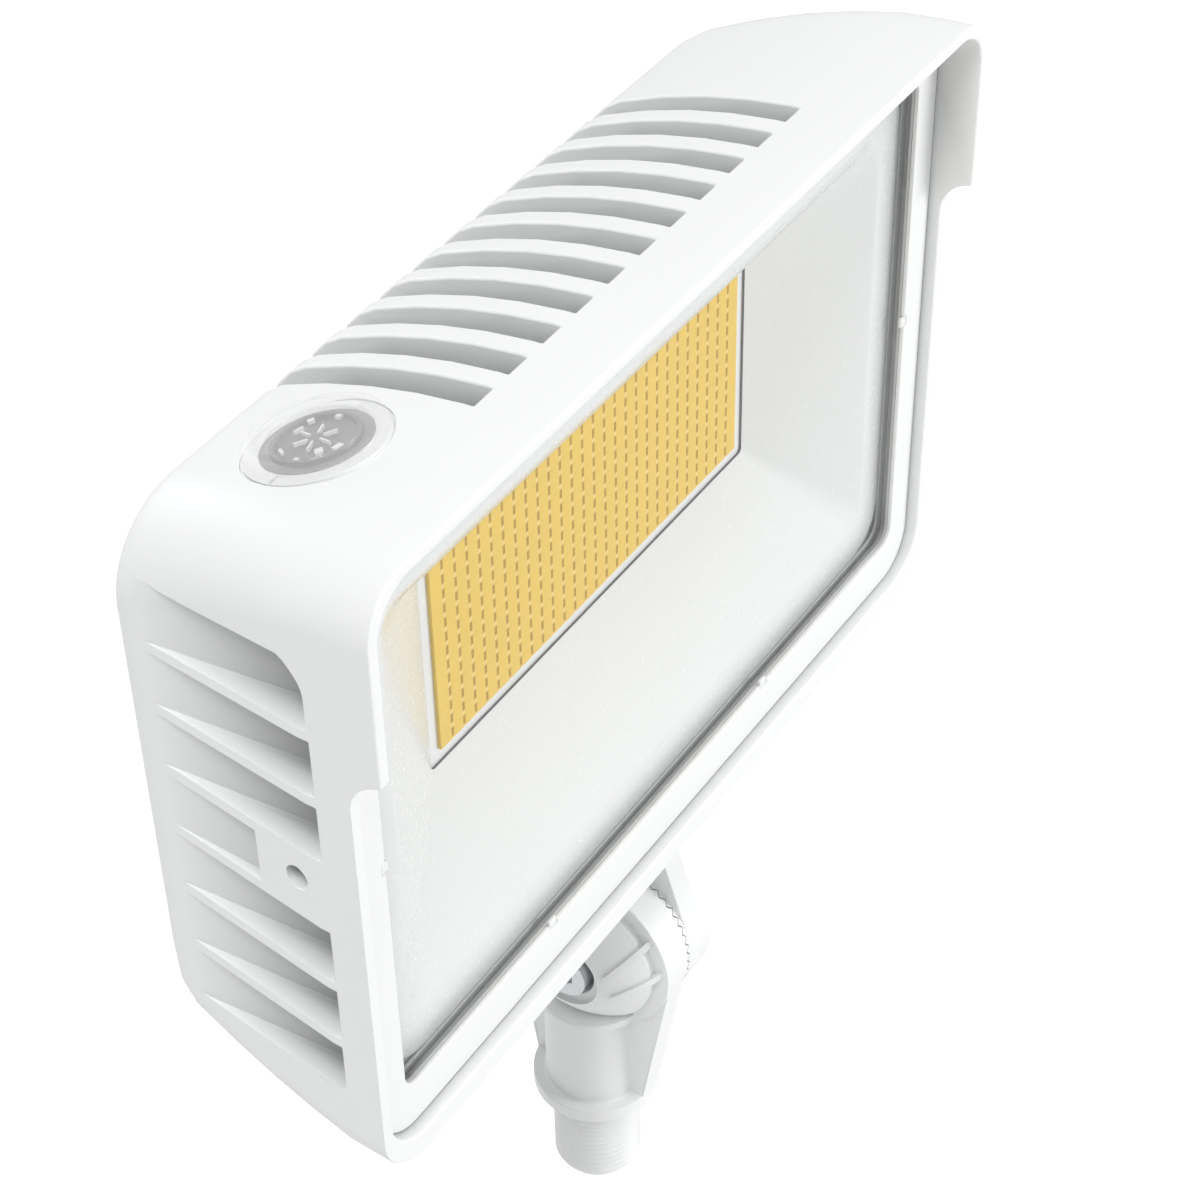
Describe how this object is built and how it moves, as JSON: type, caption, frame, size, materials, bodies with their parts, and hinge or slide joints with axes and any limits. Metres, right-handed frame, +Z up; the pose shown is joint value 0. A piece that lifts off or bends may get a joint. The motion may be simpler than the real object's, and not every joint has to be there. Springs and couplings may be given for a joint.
{
  "type": "flood light",
  "caption": "Rectangular LED flood light with a visor, cooling fins and a dusk-to-dawn sensor, on a tilting knuckle with a pipe-threaded stem.",
  "frame": {"origin": "on the stem's axis, at the underside of the collar where the pipe thread starts", "axes": "+Z up along the stem, the light shines towards -Y, +X is on the right seen from the front"},
  "size_m": [0.2164, 0.067, 0.2759],
  "materials": {
    "white_enamel": "matt white powder coat with a fine grain, over die-cast aluminium",
    "plated_steel": "zinc-plated steel, satin",
    "clip_white": "satin moulded white",
    "lens_glass": "clear tempered glass, polished",
    "black_rubber": "matt black silicone rubber",
    "reflector_white": "satin white enamel with a fine orange peel",
    "phosphor_yellow": "yellow phosphor silicone over rows of small chips, soft gloss",
    "board_white": "white solder mask on an aluminium board",
    "pad_blue": "soft pale blue silicone pad",
    "driver_case": "folded sheet, satin",
    "lead_red": "red insulation, soft gloss",
    "lead_grey": "dark grey insulation, soft gloss",
    "earth_green": "green dyed steel",
    "seal_white": "translucent white silicone rubber",
    "sensor_clear": "clear polycarbonate, polished",
    "sensor_dark": "dark grey moulding",
    "sensor_grey": "grey moulding"
  },
  "bodies": {
    "stem": {"knuckle_stem": "white_enamel", "knuckle_bolt": "plated_steel", "bolt_washer": "plated_steel", "knuckle_ring": "black_rubber"},
    "head": {"housing": "white_enamel", "front_frame": "white_enamel", "frame_screws": "plated_steel", "retaining_clips": "clip_white", "lens": "lens_glass", "lens_gasket": "seal_white", "reflector": "reflector_white", "led_array": "phosphor_yellow", "led_board": "board_white", "board_screws": "plated_steel", "thermal_pad": "pad_blue", "driver": "driver_case", "driver_screws": "plated_steel", "led_leads": "lead_red", "sensor_leads": "lead_grey", "earth_screw": "earth_green", "sensor_cap": "sensor_clear", "sensor_cell": "sensor_dark", "sensor_body": "sensor_grey", "sensor_gasket": "seal_white", "sensor_nut": "sensor_grey", "bracket_gasket": "black_rubber", "bracket_screws": "plated_steel", "wire_bush": "black_rubber", "knuckle_head": "white_enamel", "knuckle_nut": "plated_steel"}
  },
  "joints": [
    {"name": "tilt", "type": "hinge", "parent": "stem", "child": "head", "pos_m": [0, 0, 0.049], "axis": [1, 0, 0], "range_deg": [-90, 90]}
  ]
}
